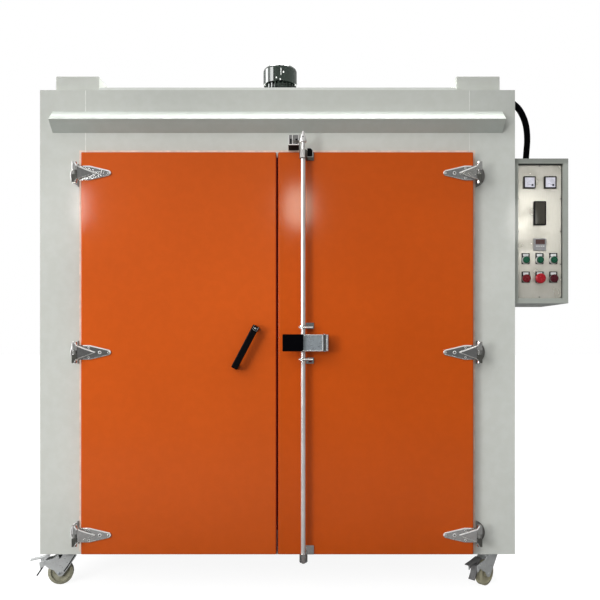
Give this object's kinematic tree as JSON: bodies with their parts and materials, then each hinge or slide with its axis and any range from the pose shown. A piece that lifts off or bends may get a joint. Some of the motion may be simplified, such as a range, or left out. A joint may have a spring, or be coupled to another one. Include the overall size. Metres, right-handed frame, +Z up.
{
  "type": "curing oven",
  "caption": "Walk-in curing oven on swivel casters with insulated twin doors, a rod lock, a roof fan motor and a side control box.",
  "frame": {"origin": "on the ground, at the middle of the oven's overall plan from the left brake pedal to the control box and from the lock lever to the rear wall", "axes": "+X to the right seen from the doors, +Y from the doors towards the rear wall, +Z up"},
  "size_m": [2.18, 1.768, 2.3743],
  "materials": {
    "grey_paint": "light grey gloss enamel on sheet steel",
    "orange_paint": "orange gloss enamel on sheet steel",
    "motor_paint": "dark green-grey gloss paint on iron and sheet steel",
    "brushed_panel": "warm brushed stainless sheet",
    "chrome": "bright chrome plate",
    "zinc_steel": "zinc-plated pressed steel",
    "black_rubber": "satin black rubber",
    "black_plastic": "black moulded plastic",
    "grey_plastic": "dark grey moulded plastic",
    "green_button": "green moulded push button",
    "red_button": "red moulded push button",
    "wheel": "olive-beige nylon wheel"
  },
  "bodies": {
    "cabinet": {"left_wall": "grey_paint", "right_wall": "grey_paint", "rear_wall": "grey_paint", "roof_panel": "grey_paint", "floor_panel": "grey_paint", "front_header": "grey_paint", "door_hood": "grey_paint", "left_roof_box": "grey_paint", "right_roof_box": "grey_paint", "motor_body": "motor_paint", "motor_cowl": "motor_paint", "control_cabinet": "grey_paint", "control_panel": "brushed_panel", "conduit": "black_rubber", "left_meter": "black_plastic", "right_meter": "black_plastic", "window_instrument": "black_plastic", "temperature_controller": "grey_plastic", "left_hinge_leaf_1": "chrome", "left_hinge_leaf_2": "chrome", "left_hinge_leaf_3": "chrome", "right_hinge_leaf_1": "chrome", "right_hinge_leaf_2": "chrome", "right_hinge_leaf_3": "chrome", "lock_keeper": "chrome"},
    "left_door_leaf": {"left_door": "orange_paint", "left_handle": "black_plastic", "left_hinge_strap_1": "chrome", "left_hinge_strap_2": "chrome", "left_hinge_strap_3": "chrome"},
    "right_door_leaf": {"right_door": "orange_paint", "right_hinge_strap_1": "chrome", "right_hinge_strap_2": "chrome", "right_hinge_strap_3": "chrome", "rod_guide_bottom": "chrome", "rod_guide_lower": "chrome", "rod_guide_upper": "chrome", "rod_guide_top": "chrome", "lever_bracket": "zinc_steel"},
    "lever": {"lock_lever": "zinc_steel", "lever_grip": "black_rubber"},
    "rod": {"lock_rod": "chrome"},
    "green_button_1": {"start_button_1": "green_button"},
    "green_button_2": {"start_button_2": "green_button"},
    "green_button_3": {"start_button_3": "green_button"},
    "red_button_1": {"stop_button_1": "red_button"},
    "red_mushroom": {"emergency_stop": "red_button"},
    "red_button_3": {"stop_button_3": "red_button"},
    "front_left_swivel": {"front_left_fork": "zinc_steel"},
    "front_right_swivel": {"front_right_fork": "zinc_steel"},
    "rear_left_swivel": {"rear_left_fork": "zinc_steel"},
    "rear_right_swivel": {"rear_right_fork": "zinc_steel"},
    "front_left_roller": {"front_left_wheel": "wheel"},
    "front_right_roller": {"front_right_wheel": "wheel"},
    "rear_left_roller": {"rear_left_wheel": "wheel"},
    "rear_right_roller": {"rear_right_wheel": "wheel"},
    "front_left_pedal": {"front_left_brake_pedal": "zinc_steel"},
    "front_right_pedal": {"front_right_brake_pedal": "zinc_steel"}
  },
  "joints": [
    {"name": "left_door_hinge", "type": "hinge", "parent": "cabinet", "child": "left_door_leaf", "pos_m": [-0.876, -0.818, 0.949], "axis": [0, 0, -1], "range_deg": [0, 165]},
    {"name": "right_door_hinge", "type": "hinge", "parent": "cabinet", "child": "right_door_leaf", "pos_m": [0.712, -0.818, 0.949], "axis": [0, 0, 1], "range_deg": [0, 165]},
    {"name": "lever_swing", "type": "hinge", "parent": "right_door_leaf", "child": "lever", "pos_m": [0.104, -0.85, 0.987], "axis": [0, 0, 1], "range_deg": [0, 90]},
    {"name": "rod_turn", "type": "hinge", "parent": "right_door_leaf", "child": "rod", "pos_m": [0.0205, -0.836, 0.987], "axis": [0, 0, 1], "range_deg": [-90, 0]},
    {"name": "start_press_1", "type": "slide", "parent": "cabinet", "child": "green_button_1", "axis": [0, 1, 0], "range_m": [0, 0.004], "stiffness_N_per_m": 400},
    {"name": "start_press_2", "type": "slide", "parent": "cabinet", "child": "green_button_2", "axis": [0, 1, 0], "range_m": [0, 0.004], "stiffness_N_per_m": 400},
    {"name": "start_press_3", "type": "slide", "parent": "cabinet", "child": "green_button_3", "axis": [0, 1, 0], "range_m": [0, 0.004], "stiffness_N_per_m": 400},
    {"name": "stop_press_1", "type": "slide", "parent": "cabinet", "child": "red_button_1", "axis": [0, 1, 0], "range_m": [0, 0.004], "stiffness_N_per_m": 400},
    {"name": "emergency_press", "type": "slide", "parent": "cabinet", "child": "red_mushroom", "axis": [0, 1, 0], "range_m": [0, 0.004], "stiffness_N_per_m": 400},
    {"name": "stop_press_3", "type": "slide", "parent": "cabinet", "child": "red_button_3", "axis": [0, 1, 0], "range_m": [0, 0.004], "stiffness_N_per_m": 400},
    {"name": "front_left_swivel_turn", "type": "hinge", "parent": "cabinet", "child": "front_left_swivel", "pos_m": [-0.945, -0.691, 0.12], "axis": [0, 0, 1], "continuous": true},
    {"name": "front_right_swivel_turn", "type": "hinge", "parent": "cabinet", "child": "front_right_swivel", "pos_m": [0.781, -0.691, 0.12], "axis": [0, 0, 1], "continuous": true},
    {"name": "rear_left_swivel_turn", "type": "hinge", "parent": "cabinet", "child": "rear_left_swivel", "pos_m": [-0.945, 0.809, 0.12], "axis": [0, 0, 1], "continuous": true},
    {"name": "rear_right_swivel_turn", "type": "hinge", "parent": "cabinet", "child": "rear_right_swivel", "pos_m": [0.781, 0.809, 0.12], "axis": [0, 0, 1], "continuous": true},
    {"name": "front_left_wheel_spin", "type": "hinge", "parent": "front_left_swivel", "child": "front_left_roller", "pos_m": [-0.97239, -0.69682, 0.05], "axis": [-0.2079, 0.9781, 0], "continuous": true},
    {"name": "front_right_wheel_spin", "type": "hinge", "parent": "front_right_swivel", "child": "front_right_roller", "pos_m": [0.76019, -0.70974, 0.05], "axis": [-0.6691, 0.7431, 0], "continuous": true},
    {"name": "rear_left_wheel_spin", "type": "hinge", "parent": "rear_left_swivel", "child": "rear_left_roller", "pos_m": [-0.97273, 0.8129, 0.05], "axis": [0.1392, 0.9903, 0], "continuous": true},
    {"name": "rear_right_wheel_spin", "type": "hinge", "parent": "rear_right_swivel", "child": "rear_right_roller", "pos_m": [0.75327, 0.8129, 0.05], "axis": [0.1392, 0.9903, 0], "continuous": true},
    {"name": "front_left_pedal_press", "type": "hinge", "parent": "front_left_swivel", "child": "front_left_pedal", "pos_m": [-1.03499, -0.71013, 0.094], "axis": [0.2079, -0.9781, 0], "range_deg": [0, 12]},
    {"name": "front_right_pedal_press", "type": "hinge", "parent": "front_right_swivel", "child": "front_right_pedal", "pos_m": [0.71263, -0.75256, 0.094], "axis": [0.6691, -0.7431, 0], "range_deg": [0, 12]}
  ],
  "couplings": [
    {"joint": "rod_turn", "follows": "lever_swing", "ratio": -1}
  ]
}
